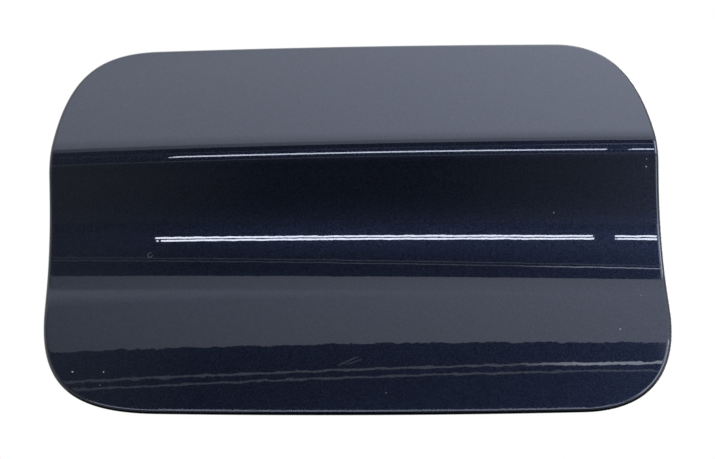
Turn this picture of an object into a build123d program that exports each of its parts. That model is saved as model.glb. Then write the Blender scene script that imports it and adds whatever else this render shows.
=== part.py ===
import os
from math import asin, atan, cos, degrees, hypot, pi, radians, sin, sqrt, tan

from build123d import *

# Car fuel door with its hinge, as fitted on the left side of a car and seen from outside:
# +X to the rear of the car, +Y into the car, +Z up, origin between the two bolts of the hinge base.

# Door outline, measured from the crease at mid-width
door_width = 200.0
front_edge_lean = 0.0271
rear_edge_lean = 0.0191
top_height = 46.0
top_rise = 0.0174
top_edge_radius = 18100.0
bottom_drop = 87.1
bottom_rise = 0.0029
bottom_edge_radius = 2482.0

# Corners of the outline: run along the top or bottom edge, drop along the side edge, fullness of the curve
front_top_run = 32.3
front_top_drop = 59.0
front_top_fullness = 0.751
rear_top_run = 30.4
rear_top_drop = 52.1
rear_top_fullness = 0.671
front_bottom_run = 38.9
front_bottom_drop = 33.2
front_bottom_fullness = 0.717
rear_bottom_run = 29.2
rear_bottom_drop = 33.3
rear_bottom_fullness = 0.676

# Section of the outer face: upper flank, crease, undercut, valley and bulge
crown_radius = 3000.0
crease_rise = 0.021
crease_radius = 16.4
upper_lean = 12.0
undercut_lean = 28.55
undercut_length = 9.53
valley_radius = 64.9
valley_end_lean = 5.4
bulge_radius = 345.0

# Sheet metal and the hem that folds the skin round the inner panel
skin_thickness = 0.8
panel_thickness = 0.7
hem_clearance = 0.05
hem_width = 8.0
rim_flat = 0.1
rim_wall_slope = 0.05

# Inner panel: plateau and dish
plateau_front_margin = 20.0
plateau_rear_margin = 20.0
plateau_top_margin = 18.0
plateau_bottom_margin = 18.0
plateau_corner_radius = 26.0
wall_taper = 25.0
press_radius = 3.0
dish_depth = 5.0
dish_front_gap = 12.0
dish_rear_gap = 11.0
dish_height_margin = 14.0
dish_corner_radius = 12.0
access_hole_radius = 7.0
access_hole_inset = 16.0
access_hole_margin = 17.0
mastic_length = 34.0
mastic_width = 7.0
mastic_pitch = 12.0
mastic_gap = 1.5

# Hinge: where the pin runs and how far the door opens
pin_radius = 2.5
pin_offset = 10.0
pin_height = 28.0
pin_inset = 28.0
seat_gap = 9.3
crease_lift = 20.3
open_angle = 95.0
running_clearance = 0.04
seat_clearance = 0.02
axial_clearance = 0.2
moving_clearance = 0.4
moulded_radius = 1.2

# Hinge arm with its bushes, screws and nut plate
cheek_gap = 20.0
cheek_thickness = 3.5
cheek_end_radius = 6.5
cheek_end_height = 3.0
foot_thickness = 3.0
foot_start = 20.0
foot_length = 32.0
foot_height = 56.0
foot_corner_radius = 6.0
tongue_start = 8.0
bush_wall = 1.5
bush_flange_radius = 5.6
bush_flange_thickness = 1.0
screw_radius = 2.5
screw_inset = 7.0
screw_hexagon = 8.0
screw_head_height = 3.4
screw_head_chamfer = 0.4
screw_flange_radius = 5.4
screw_flange_thickness = 1.0
screw_tip = 1.0
nut_plate_thickness = 3.0
nut_plate_inset = 1.5

# Hinge base
base_thickness = 4.0
base_front = 16.0
base_rear = 18.0
base_height = 80.0
base_corner_radius = 7.0
lug_radius = 6.0
lug_root_rear = 12.0
gusset_thickness = 4.0
gusset_reach = 10.0
bolt_spacing = 62.0
bolt_hole_radius = 2.75
sleeve_wall = 1.6
boss_wall = 3.2
boss_height = 2.5
pad_size = 6.0
pad_height = 12.0
pad_stem_radius = 1.6
pad_stem_length = 4.0

# Hinge pin, clip and spring
pin_head_radius = 6.2
pin_head_thickness = 1.8
pin_tip = 1.4
pin_chamfer = 0.5
clip_thickness = 0.8
clip_groove_depth = 0.6
clip_radius = 5.0
clip_gap = 3.4
clip_notch_angle = 30.0
wire_diameter = 1.4
spring_coil_radius = 4.7
spring_pitch = 1.7
spring_turns = 5
spring_clearance = 0.3
arm_leg_angle = -30.0
arm_leg_length = 19.0
base_leg_length = 21.0
spring_post_radius = 2.0
spring_post_at = 13.0
spring_post_height = 4.5

# Striker
striker_inset = 34.0
striker_foot_length = 20.0
striker_foot_height = 34.0
striker_foot_thickness = 3.0
striker_corner_radius = 4.0
tab_thickness = 5.0
tab_height = 16.0
tab_length = 27.0
eye_height = 8.0
eye_length = 10.0
eye_wall = 4.0
eye_corner_radius = 2.0
striker_rivet_spacing = 25.0

# Rivets
rivet_radius = 2.0
rivet_head_radius = 4.0
rivet_head_height = 1.6
rivet_head_round = 1.1
rivet_tail_radius = 3.0
rivet_tail_height = 2.0

# Buffers
buffer_spacing = 64.0
buffer_stem_radius = 3.0
buffer_head_radius = 6.0
buffer_tip_radius = 4.0
buffer_height = 9.0
buffer_barb_radius = 4.0
buffer_barb_height = 2.4

# Cap holder
holder_width = 30.0
holder_height = 26.0
holder_lift = 8.0
holder_thickness = 2.5
holder_corner_radius = 4.0
trough_depth = 13.0
trough_lip = 9.0
trough_lip_radius = 1.0
holder_rivet_spacing = 18.0
holder_rivet_drop = 7.0

# Places that follow from the sizes above
margin = 25.0
pin_x = -pin_offset
pin_y = -pin_height
seat_y = pin_y - seat_gap
valley_sink = valley_radius * (1 - cos(radians(undercut_lean)))
valley_depth = undercut_length * sin(radians(undercut_lean)) + valley_sink
plateau_depth = valley_depth + skin_thickness + mastic_gap + panel_thickness + dish_depth
crease_y = seat_y - plateau_depth
crease_z = crease_lift
front_edge_x = pin_x - pin_inset
rear_edge_x = front_edge_x + door_width
crease_x = front_edge_x + door_width / 2
hem_slot = panel_thickness + 2 * hem_clearance
hem_thickness = 2 * skin_thickness + hem_slot
rim_radius = hem_thickness / 2 - rim_flat
panel_front_y = seat_y - panel_thickness
foot_back_y = seat_y + foot_thickness
foot_start_x = pin_x + foot_start
foot_end_x = foot_start_x + foot_length
cheek_outer_z = cheek_gap / 2 + cheek_thickness
lug_width = cheek_gap - 2 * (bush_flange_thickness + axial_clearance)
bush_radius = pin_radius + running_clearance + bush_wall
sleeve_radius = bolt_hole_radius + sleeve_wall
striker_x = rear_edge_x - striker_inset
plateau_front_x = front_edge_x + plateau_front_margin
plateau_rear_x = rear_edge_x - plateau_rear_margin
plateau_top_z = crease_z + top_height - plateau_top_margin
plateau_bottom_z = crease_z - bottom_drop + plateau_bottom_margin
dish_front_x = foot_end_x + dish_front_gap
dish_rear_x = striker_x - striker_foot_length / 2 - dish_rear_gap
dish_top_z = plateau_top_z - dish_height_margin
dish_bottom_z = plateau_bottom_z + dish_height_margin
dish_x = (dish_front_x + dish_rear_x) / 2
dish_z = (dish_top_z + dish_bottom_z) / 2
dish_seat_y = seat_y - dish_depth
spring_slope = spring_pitch / hypot(spring_pitch, 2 * pi * spring_coil_radius)
spring_low_z = cheek_outer_z + spring_clearance + wire_diameter / 2 + arm_leg_length * spring_slope
leg_rise = base_leg_length * spring_slope

os.makedirs("parts", exist_ok=True)


# Plane across Y whose local x runs to the rear and local y up, facing out of the car
def inner_plane(y):
    return Plane(origin=(0, y, 0), x_dir=(1, 0, 0), z_dir=(0, -1, 0))


def finish(piece, name):
    piece.part.label = name
    export_step(piece.part, f"parts/{name}.step")


# Unit vectors along a face of the section that leans back from the vertical, and into it
def face_up(lean):
    return Vector(sin(radians(lean)), cos(radians(lean)))


def face_in(lean):
    return Vector(cos(radians(lean)), -sin(radians(lean)))


# Plane and axis that sweep the section round the crown, whose axis is tilted or shifted along the car
def crown_sweep(tilt, shift):
    up = Vector(-sin(tilt), 0, cos(tilt))
    along = Vector(cos(tilt), 0, sin(tilt))
    centre = Vector(crease_x + shift, crease_y + sqrt(crown_radius**2 - shift**2), crease_z)
    half_turn = (door_width / 2 + abs(shift) + margin) / crown_radius
    out = Vector(0, -cos(half_turn), 0) - along * sin(half_turn)
    plane = Plane(origin=centre + out * crown_radius, x_dir=out * -1, z_dir=(out * -1).cross(up))
    return plane, Axis(centre, up), degrees(2 * half_turn)


# Section through the upper flank, at a depth behind the outer face
def upper_section(depth):
    inward = face_in(upper_lean) * depth
    top = face_up(upper_lean) * ((top_height + margin) / cos(radians(upper_lean))) + inward
    low = face_up(upper_lean) * -(bottom_drop + 2 * margin) + inward
    back = plateau_depth + 2 * margin
    Polyline(top, low, (back, low.Y), (back, top.Y), close=True)


# Section through the undercut, the valley and the bulge, at a depth behind the outer face
def lower_section(depth):
    undercut = -undercut_lean
    valley_centre = face_up(undercut) * -undercut_length - face_in(undercut) * valley_radius
    bulge_centre = valley_centre + face_in(valley_end_lean) * (valley_radius + bulge_radius)
    bulge_start_z = valley_centre.Y - valley_radius * sin(radians(valley_end_lean))
    bulge_fall = (bottom_drop + margin + bulge_start_z) / bulge_radius
    bulge_end_lean = degrees(asin(sin(radians(valley_end_lean)) - bulge_fall))
    valley_mid_lean = (undercut + valley_end_lean) / 2
    bulge_mid_lean = (valley_end_lean + bulge_end_lean) / 2
    top = face_up(undercut) * (top_height + margin) + face_in(undercut) * depth
    valley_start = valley_centre + face_in(undercut) * (valley_radius + depth)
    valley_mid = valley_centre + face_in(valley_mid_lean) * (valley_radius + depth)
    valley_end = valley_centre + face_in(valley_end_lean) * (valley_radius + depth)
    bulge_mid = bulge_centre - face_in(bulge_mid_lean) * (bulge_radius - depth)
    bulge_end = bulge_centre - face_in(bulge_end_lean) * (bulge_radius - depth)
    back = plateau_depth + 2 * margin
    Line(top, valley_start)
    ThreePointArc(valley_start, valley_mid, valley_end)
    ThreePointArc(valley_end, bulge_mid, bulge_end)
    Polyline(bulge_end, (back, bulge_end.Y), (back, top.Y), top)


# Everything behind the outer face by at least a depth: two crowned flanks that meet in the rounded crease
def behind_face(depth):
    upper_plane, upper_axis, upper_arc = crown_sweep(atan(crease_rise), 0)
    crown_shift = -crown_radius * crease_rise * tan(radians(undercut_lean))
    lower_plane, lower_axis, lower_arc = crown_sweep(0, crown_shift)
    with BuildPart() as region:
        with BuildSketch(upper_plane):
            with BuildLine():
                upper_section(depth)
            make_face()
        revolve(axis=upper_axis, revolution_arc=upper_arc)
        with BuildSketch(lower_plane):
            with BuildLine():
                lower_section(depth)
            make_face()
        revolve(axis=lower_axis, revolution_arc=lower_arc, mode=Mode.INTERSECT)
        fillet(region.edges().sort_by(Axis.Y)[0], radius=crease_radius - depth)
    return region.part


# The outline's four edges, drawn in by an inset: places over z or heights over x, from the crease's middle
def outline_edges(inset):
    return {
        "front": lambda z: inset - door_width / 2 - front_edge_lean * z,
        "rear": lambda z: door_width / 2 - inset - rear_edge_lean * z,
        "top": lambda x: top_height - inset + top_rise * x - x**2 / (2 * top_edge_radius),
        "bottom": lambda x: inset - bottom_drop + bottom_rise * x + x**2 / (2 * bottom_edge_radius),
    }


# One corner of the outline: the four points of a curve from the side edge to the top or bottom edge.
# Drawn in by an inset, the curve gets fuller, so that the band between both curves keeps its width.
def corner_curve(side, edge, run, drop, fullness, x_sign, z_sign, inset):
    size = (run + drop) / 2
    fullness = (4 - (size * (4 - 3 * fullness) - 4 * (2 - sqrt(2)) * inset) / (size - inset)) / 3
    run = run - inset
    drop = drop - inset
    side_x = side(0)
    edge_x = side_x - x_sign * run
    side_z = edge(side_x) - z_sign * drop
    start = Vector(side(side_z), side_z)
    end = Vector(edge_x, edge(edge_x))
    side_way = Vector(side(1) - side(0), 1).normalized() * z_sign
    edge_way = Vector(2, edge(edge_x + 1) - edge(edge_x - 1)).normalized() * x_sign
    return [start, start + side_way * drop * fullness, end + edge_way * run * fullness, end]


# The outline, drawn in by an inset, as a prism through the whole depth of the door
def door_prism(inset):
    edges = outline_edges(inset)
    front, rear, top, bottom = edges["front"], edges["rear"], edges["top"], edges["bottom"]
    front_top = corner_curve(front, top, front_top_run, front_top_drop, front_top_fullness, -1, 1, inset)
    rear_top = corner_curve(rear, top, rear_top_run, rear_top_drop, rear_top_fullness, 1, 1, inset)
    front_low = corner_curve(
        front, bottom, front_bottom_run, front_bottom_drop, front_bottom_fullness, -1, -1, inset
    )
    rear_low = corner_curve(
        rear, bottom, rear_bottom_run, rear_bottom_drop, rear_bottom_fullness, 1, -1, inset
    )
    top_mid = (front_top[3].X + rear_top[3].X) / 2
    low_mid = (front_low[3].X + rear_low[3].X) / 2
    front_plane = Plane(origin=(crease_x, crease_y - margin, crease_z), x_dir=(1, 0, 0), z_dir=(0, -1, 0))
    with BuildPart() as prism:
        with BuildSketch(front_plane):
            with BuildLine():
                Line(front_low[0], front_top[0])
                Bezier(*front_top)
                ThreePointArc(front_top[3], (top_mid, top(top_mid)), rear_top[3])
                Bezier(*reversed(rear_top))
                Line(rear_top[0], rear_low[0])
                Bezier(*rear_low)
                ThreePointArc(rear_low[3], (low_mid, bottom(low_mid)), front_low[3])
                Bezier(*reversed(front_low))
            make_face()
        extrude(amount=-(plateau_depth + 2 * margin))
    return prism.part


# Space between the folds of the skin: the slot in the hem and the open middle of the door
with BuildPart() as hem_space:
    add(door_prism(skin_thickness))
    add(behind_face(skin_thickness), mode=Mode.INTERSECT)
    add(behind_face(skin_thickness + hem_slot) - door_prism(hem_width), mode=Mode.SUBTRACT)

# Outer skin: crowned sheet with a crease, its rim folded flat round the inner panel
with BuildPart() as outer_skin:
    add(door_prism(0))
    add(behind_face(0), mode=Mode.INTERSECT)
    add(behind_face(hem_thickness), mode=Mode.SUBTRACT)
    rim_walls = outer_skin.faces().filter_by(lambda face: abs(face.normal_at().Y) < rim_wall_slope)
    fillet(rim_walls.edges().filter_by(Axis.Y, reverse=True), radius=rim_radius)
    add(hem_space.part, mode=Mode.SUBTRACT)
finish(outer_skin, "outer_skin")


# Tapered block with a rounded top, as a press tool: it widens from its flat top on the way given along Y
def press_block(front_x, rear_x, bottom_z, top_z, top_y, way, length, corner_radius, edge_radius):
    middle = ((front_x + rear_x) / 2, top_y, (bottom_z + top_z) / 2)
    with BuildPart() as block:
        with BuildSketch(Plane(origin=middle, x_dir=(1, 0, 0), z_dir=(0, way, 0))):
            RectangleRounded(rear_x - front_x, top_z - bottom_z, corner_radius)
        extrude(amount=length, taper=-wall_taper)
        fillet(block.edges().filter_by_position(Axis.Y, top_y, top_y), radius=edge_radius)
    return block.part


def plateau_block(inset, top_y, edge_radius):
    return press_block(
        plateau_front_x + inset,
        plateau_rear_x - inset,
        plateau_bottom_z + inset,
        plateau_top_z - inset,
        top_y,
        -1,
        plateau_depth + margin,
        plateau_corner_radius - inset,
        edge_radius,
    )


def dish_block(grow, top_y, edge_radius):
    return press_block(
        dish_front_x - grow,
        dish_rear_x + grow,
        dish_bottom_z - grow,
        dish_top_z + grow,
        top_y,
        1,
        dish_depth + margin,
        dish_corner_radius + grow,
        edge_radius,
    )


# Places of the fasteners and holes in the inner panel, as points to the rear and up
screw_points = [
    (x, z)
    for x in (foot_start_x + screw_inset, foot_end_x - screw_inset)
    for z in (screw_inset - foot_height / 2, foot_height / 2 - screw_inset)
]
striker_rivet_points = [(striker_x, striker_rivet_spacing / 2), (striker_x, -striker_rivet_spacing / 2)]
buffer_points = [(striker_x, buffer_spacing / 2), (striker_x, -buffer_spacing / 2)]
access_points = [
    (plateau_front_x + access_hole_inset, plateau_top_z - access_hole_margin),
    (plateau_front_x + access_hole_inset, plateau_bottom_z + access_hole_margin),
]
holder_z = dish_z + holder_lift
holder_rivet_z = holder_z + holder_height / 2 - holder_rivet_drop
holder_rivet_points = [
    (dish_x - holder_rivet_spacing / 2, holder_rivet_z),
    (dish_x + holder_rivet_spacing / 2, holder_rivet_z),
]

# Inner panel: rim in the hem, a raised plateau with pressed edges and a dish in its middle
wall_shift = panel_thickness * (1 / cos(radians(wall_taper)) - tan(radians(wall_taper)))
panel_front = skin_thickness + hem_clearance
panel_space = plateau_block(wall_shift, panel_front_y, press_radius) - dish_block(
    wall_shift, dish_seat_y - panel_thickness, press_radius + panel_thickness
)
plateau = plateau_block(0, seat_y, press_radius + panel_thickness)

# Space behind the rim, rounded where the walls of the plateau rise from it
with BuildPart() as rim_space:
    add(behind_face(panel_front + panel_thickness))
    add(plateau, mode=Mode.SUBTRACT)
    fillet(rim_space.edges(Select.NEW), radius=press_radius)

with BuildPart() as inner_panel:
    add(door_prism(panel_front))
    add(behind_face(panel_front), mode=Mode.INTERSECT)
    add(rim_space.part, mode=Mode.SUBTRACT)
    add(dish_block(0, dish_seat_y, press_radius), mode=Mode.SUBTRACT)
    add(panel_space, mode=Mode.SUBTRACT)
    fillet(inner_panel.edges(Select.NEW), radius=press_radius + panel_thickness)
    with BuildSketch(inner_plane(seat_y)):
        with Locations(*screw_points):
            Circle(screw_radius + moving_clearance)
        with Locations(*striker_rivet_points):
            Circle(rivet_radius + seat_clearance)
        with Locations(*buffer_points):
            Circle(buffer_stem_radius + seat_clearance)
        with Locations(*access_points):
            Circle(access_hole_radius)
    extrude(amount=panel_thickness, mode=Mode.SUBTRACT)
    with BuildSketch(inner_plane(dish_seat_y)):
        with Locations(*holder_rivet_points):
            Circle(rivet_radius + seat_clearance)
    extrude(amount=panel_thickness, mode=Mode.SUBTRACT)
finish(inner_panel, "inner_panel")

# Mastic strips that bond the dish of the inner panel to the skin
for name, side in (("anti_flutter_strip_upper", 1), ("anti_flutter_strip_lower", -1)):
    strip_z = (dish_z + dish_bottom_z) / 2 + side * mastic_pitch / 2
    with BuildPart() as strip:
        with BuildSketch(inner_plane(dish_seat_y - panel_thickness - seat_clearance)):
            with Locations((dish_x, strip_z)):
                SlotOverall(mastic_length, mastic_width)
        extrude(amount=plateau_depth)
        add(behind_face(skin_thickness + seat_clearance), mode=Mode.INTERSECT)
    finish(strip, name)


# Hinge arm: T-shaped foot on the plateau and two cheeks that carry the bushes
cheek_end_x = foot_end_x - screw_inset
leg_start_angle = 90 + arm_leg_angle
leg_way = Vector(cos(radians(arm_leg_angle)), sin(radians(arm_leg_angle)))
leg_side = Vector(-leg_way.Y, leg_way.X)
leg_start = Vector(pin_x, pin_y) + leg_side * spring_coil_radius
post_shift = wire_diameter / 2 + spring_clearance + spring_post_radius
spring_post = leg_start + leg_way * spring_post_at + leg_side * post_shift

with BuildPart() as hinge_arm:
    with BuildSketch(inner_plane(seat_y)):
        with Locations(((foot_start_x + foot_end_x) / 2, 0)):
            RectangleRounded(foot_length, foot_height, foot_corner_radius)
        with Locations(((pin_x + tongue_start + cheek_end_x) / 2, 0)):
            Rectangle(cheek_end_x - pin_x - tongue_start, 2 * cheek_outer_z)
    extrude(amount=-foot_thickness)
    with BuildSketch(Plane.XY.offset(cheek_gap / 2), Plane.XY.offset(-cheek_outer_z)):
        with BuildLine():
            CenterArc((pin_x, pin_y), cheek_end_radius, 0, 360)
            Polyline(
                (pin_x + tongue_start, seat_y),
                (cheek_end_x, seat_y),
                (cheek_end_x, foot_back_y + cheek_end_height),
            )
        make_hull()
    extrude(amount=cheek_thickness)
    cheek_edges = hinge_arm.faces().filter_by(Axis.Z).edges()
    rim_edges = cheek_edges.filter_by_position(Axis.Y, foot_back_y + cheek_end_height / 2, 0)
    fillet(rim_edges, radius=moulded_radius / 2)
    root_edges = hinge_arm.edges().filter_by(Axis.X).filter_by_position(Axis.Y, foot_back_y, foot_back_y)
    fillet(root_edges.filter_by_position(Axis.Z, -cheek_gap / 2, cheek_gap / 2), radius=moulded_radius)
    with BuildSketch(Plane.XY.offset(cheek_outer_z)):
        with Locations(spring_post):
            Circle(spring_post_radius)
    extrude(amount=spring_post_height)
    with BuildSketch(Plane.XY):
        with Locations((pin_x, pin_y)):
            Circle(bush_radius + seat_clearance)
    extrude(amount=cheek_outer_z, both=True, mode=Mode.SUBTRACT)
    with BuildSketch(inner_plane(seat_y)):
        with Locations(*screw_points):
            Circle(screw_radius + moving_clearance)
    extrude(amount=-foot_thickness, mode=Mode.SUBTRACT)
finish(hinge_arm, "hinge_arm")

# Flanged bushes in the cheeks, with their flanges towards the lug
for name, way in (("upper_bush", 1), ("lower_bush", -1)):
    with BuildPart() as bush:
        with BuildSketch(Plane.XY.offset(way * (cheek_gap / 2 - bush_flange_thickness))):
            with Locations((pin_x, pin_y)):
                Circle(bush_flange_radius)
        extrude(amount=way * bush_flange_thickness)
        with BuildSketch(Plane.XY.offset(way * cheek_gap / 2)):
            with Locations((pin_x, pin_y)):
                Circle(bush_radius)
        extrude(amount=way * cheek_thickness)
        with BuildSketch(Plane.XY):
            with Locations((pin_x, pin_y)):
                Circle(pin_radius + running_clearance)
        extrude(amount=way * cheek_outer_z, mode=Mode.SUBTRACT)
    finish(bush, name)

# Tapped plate inside the door
with BuildPart() as arm_nut_plate:
    with BuildSketch(inner_plane(panel_front_y)):
        with Locations(((foot_start_x + foot_end_x) / 2, 0)):
            RectangleRounded(
                foot_length - 2 * nut_plate_inset,
                foot_height - 2 * nut_plate_inset,
                foot_corner_radius - nut_plate_inset,
            )
        with Locations(*screw_points):
            Circle(screw_radius + seat_clearance, mode=Mode.SUBTRACT)
    extrude(amount=nut_plate_thickness)
finish(arm_nut_plate, "arm_nut_plate")

# Flanged hexagon screws through the foot and the panel into the plate
screw_length = foot_thickness + panel_thickness + nut_plate_thickness + screw_tip
with BuildPart() as arm_screws:
    with BuildSketch(inner_plane(foot_back_y)):
        with Locations(*screw_points):
            Circle(screw_radius)
    extrude(amount=screw_length)
    chamfer(arm_screws.edges().group_by(Axis.Y)[0], length=screw_tip / 2)
    with BuildSketch(inner_plane(foot_back_y)):
        with Locations(*screw_points):
            Circle(screw_flange_radius)
    extrude(amount=-screw_flange_thickness)
    with BuildSketch(inner_plane(foot_back_y + screw_flange_thickness)):
        with Locations(*screw_points):
            RegularPolygon(screw_hexagon / 2, 6, major_radius=False)
    extrude(amount=-(screw_head_height - screw_flange_thickness))
    chamfer(arm_screws.edges().group_by(Axis.Y)[-1], length=screw_head_chamfer)
finish(arm_screws, "arm_screws")

# Striker: riveted foot and a tab with an eye for the bolt of the lock
tab_tip_y = seat_y + tab_length
eye_y = tab_tip_y - eye_wall - eye_length / 2
with BuildPart() as striker:
    with BuildSketch(inner_plane(seat_y)):
        with Locations((striker_x, 0)):
            RectangleRounded(striker_foot_length, striker_foot_height, striker_corner_radius)
    extrude(amount=-striker_foot_thickness)
    fillet(striker.edges().group_by(Axis.Y)[-1], radius=moulded_radius)
    with BuildSketch(Plane.YZ.offset(striker_x - tab_thickness / 2)):
        with BuildLine():
            CenterArc((tab_tip_y - tab_height / 2, 0), tab_height / 2, 0, 360)
            Line((seat_y, tab_height / 2), (seat_y, -tab_height / 2))
        make_hull()
        with Locations((eye_y, 0)):
            RectangleRounded(eye_length, eye_height, eye_corner_radius, mode=Mode.SUBTRACT)
    extrude(amount=tab_thickness)
    root_y = seat_y + striker_foot_thickness
    root_edges = striker.edges().filter_by(Axis.Z).filter_by_position(Axis.Y, root_y, root_y)
    tab_edges = root_edges.filter_by_position(Axis.X, striker_x - tab_thickness, striker_x + tab_thickness)
    fillet(tab_edges, radius=moulded_radius)
    with BuildSketch(inner_plane(seat_y)):
        with Locations(*striker_rivet_points):
            Circle(rivet_radius + seat_clearance)
    extrude(amount=-striker_foot_thickness, mode=Mode.SUBTRACT)
finish(striker, "striker")


# Rivets with a domed head on the carried piece and a closed tail inside the panel
def rivet_group(points, head_y, tail_y, name):
    with BuildPart() as rivets:
        with BuildSketch(inner_plane(head_y)):
            with Locations(*points):
                Circle(rivet_head_radius)
        extrude(amount=-rivet_head_height)
        fillet(rivets.edges().group_by(Axis.Y)[-1], radius=rivet_head_round)
        with BuildSketch(inner_plane(head_y)):
            with Locations(*points):
                Circle(rivet_radius)
        extrude(amount=head_y - tail_y + rivet_tail_height)
        with BuildSketch(inner_plane(tail_y)):
            with Locations(*points):
                Circle(rivet_tail_radius)
        extrude(amount=rivet_tail_height)
    finish(rivets, name)


rivet_group(striker_rivet_points, seat_y + striker_foot_thickness, panel_front_y, "striker_rivets")
rivet_group(
    holder_rivet_points, dish_seat_y + holder_thickness, dish_seat_y - panel_thickness, "cap_holder_rivets"
)

# Rubber buffers at the free end, snapped into the panel
for name, (x, z) in zip(("buffer_upper", "buffer_lower"), buffer_points):
    with BuildPart() as buffer:
        with BuildSketch(Plane.XY.offset(z)):
            with BuildLine():
                Polyline(
                    (x, panel_front_y - buffer_barb_height),
                    (x + buffer_stem_radius, panel_front_y - buffer_barb_height),
                    (x + buffer_barb_radius, panel_front_y),
                    (x + buffer_stem_radius, panel_front_y),
                    (x + buffer_stem_radius, seat_y),
                    (x + buffer_head_radius, seat_y),
                    (x + buffer_tip_radius, seat_y + buffer_height),
                    (x, seat_y + buffer_height),
                    close=True,
                )
            make_face()
        revolve(axis=Axis((x, 0, z), (0, 1, 0)))
        fillet(buffer.edges().group_by(Axis.Y)[-1], radius=moulded_radius)
    finish(buffer, name)

# Cap holder: riveted plate with a trough in which the fuel cap is parked
holder_back_y = dish_seat_y + holder_thickness
trough_low_z = holder_z - holder_height / 2
trough_lip_y = holder_back_y + trough_depth
with BuildPart() as cap_holder:
    with BuildSketch(inner_plane(dish_seat_y)):
        with Locations((dish_x, holder_z)):
            RectangleRounded(holder_width, holder_height, holder_corner_radius)
    extrude(amount=-holder_thickness)
    with BuildSketch(Plane.YZ.offset(dish_x - holder_width / 2)):
        with BuildLine():
            Polyline(
                (dish_seat_y, trough_low_z),
                (trough_lip_y + holder_thickness, trough_low_z),
                (trough_lip_y + holder_thickness, trough_low_z + trough_lip + holder_thickness),
                (trough_lip_y, trough_low_z + trough_lip + holder_thickness),
                (trough_lip_y, trough_low_z + holder_thickness),
                (dish_seat_y, trough_low_z + holder_thickness),
                close=True,
            )
        make_face()
    extrude(amount=holder_width)
    with BuildSketch(inner_plane(dish_seat_y)):
        with Locations(*holder_rivet_points):
            Circle(rivet_radius + seat_clearance)
    extrude(amount=-holder_thickness, mode=Mode.SUBTRACT)
    trough_edges = cap_holder.edges().filter_by(Axis.X)
    lip_edges = trough_edges.filter_by_position(Axis.Y, trough_lip_y, trough_lip_y + holder_thickness)
    fillet(lip_edges, radius=trough_lip_radius)
finish(cap_holder, "cap_holder")

# Torsion spring round the pin: its lower leg pushes the arm's post, its upper leg leans on the base
spring_angle = 360 * spring_turns - leg_start_angle
spring_rise = spring_pitch * spring_angle / 360
coil_place = Location((pin_x, pin_y, spring_low_z), (0, 0, leg_start_angle))
coil = coil_place * Helix(spring_pitch, spring_rise, spring_coil_radius)
coil_start = Plane(origin=coil @ 0, z_dir=coil % 0)
coil_end = Plane(origin=coil @ 1, z_dir=coil % 1)
with BuildPart() as hinge_spring:
    with BuildSketch(coil_start):
        Circle(wire_diameter / 2)
    sweep(path=coil, is_frenet=True)
    with BuildSketch(coil_start):
        Circle(wire_diameter / 2)
    extrude(amount=-arm_leg_length)
    with BuildSketch(coil_end):
        Circle(wire_diameter / 2)
    extrude(amount=base_leg_length)
finish(hinge_spring, "hinge_spring")

# Hinge base: plate with bolt bosses, hinge lug and gussets; the upper gusset holds the spring's leg
spring_high_z = spring_low_z + spring_rise
gusset_front_x = pin_x + spring_coil_radius + wire_diameter / 2 + spring_clearance
gusset_top_z = spring_high_z + leg_rise + wire_diameter
gusset_y = -base_thickness - gusset_reach
bolt_points = [(0, bolt_spacing / 2), (0, -bolt_spacing / 2)]
pad_y = pin_y + pad_size / 2 + pad_stem_radius
with BuildPart() as hinge_base:
    with BuildSketch(inner_plane(0)):
        with Locations(((base_rear - base_front) / 2, 0)):
            RectangleRounded(base_front + base_rear, base_height, base_corner_radius)
    extrude(amount=base_thickness)
    fillet(hinge_base.edges().group_by(Axis.Y)[0], radius=moulded_radius)
    with BuildSketch(inner_plane(-base_thickness)):
        with Locations(*bolt_points):
            Circle(sleeve_radius + boss_wall)
    extrude(amount=boss_height)
    fillet(hinge_base.edges().group_by(Axis.Y)[0], radius=moulded_radius / 2)
    with BuildSketch(Plane.XY):
        with BuildLine():
            CenterArc((pin_x, pin_y), lug_radius, 0, 360)
            Line((pin_x - lug_radius, -base_thickness / 2), (lug_root_rear, -base_thickness / 2))
        make_hull()
    extrude(amount=lug_width / 2, both=True)
    with BuildSketch(Plane.YZ.offset(gusset_front_x)):
        with BuildLine():
            Polyline(
                (-base_thickness, 0),
                (gusset_y, 0),
                (gusset_y, gusset_top_z),
                (-base_thickness, gusset_top_z + boss_height),
                close=True,
            )
        make_face()
        mirror(about=Plane.XZ)
    extrude(amount=gusset_thickness)
    with BuildSketch(Plane.XY):
        with Locations((pin_x, pin_y)):
            Circle(pin_radius + seat_clearance)
    extrude(amount=lug_width / 2, both=True, mode=Mode.SUBTRACT)
    with BuildSketch(inner_plane(0)):
        with Locations(*bolt_points):
            Circle(sleeve_radius + seat_clearance)
    extrude(amount=base_thickness + boss_height, mode=Mode.SUBTRACT)
    with BuildSketch(Plane.YZ.offset(pin_x - lug_radius)):
        with Locations((pad_y, 0)):
            Circle(pad_stem_radius + seat_clearance)
    extrude(amount=pad_stem_length, mode=Mode.SUBTRACT)
finish(hinge_base, "hinge_base")

# Steel sleeves that take the clamping force of the bolts
with BuildPart() as mount_sleeves:
    with BuildSketch(inner_plane(0)):
        with Locations(*bolt_points):
            Circle(sleeve_radius)
            Circle(bolt_hole_radius, mode=Mode.SUBTRACT)
    extrude(amount=base_thickness + boss_height)
finish(mount_sleeves, "mount_sleeves")

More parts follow.
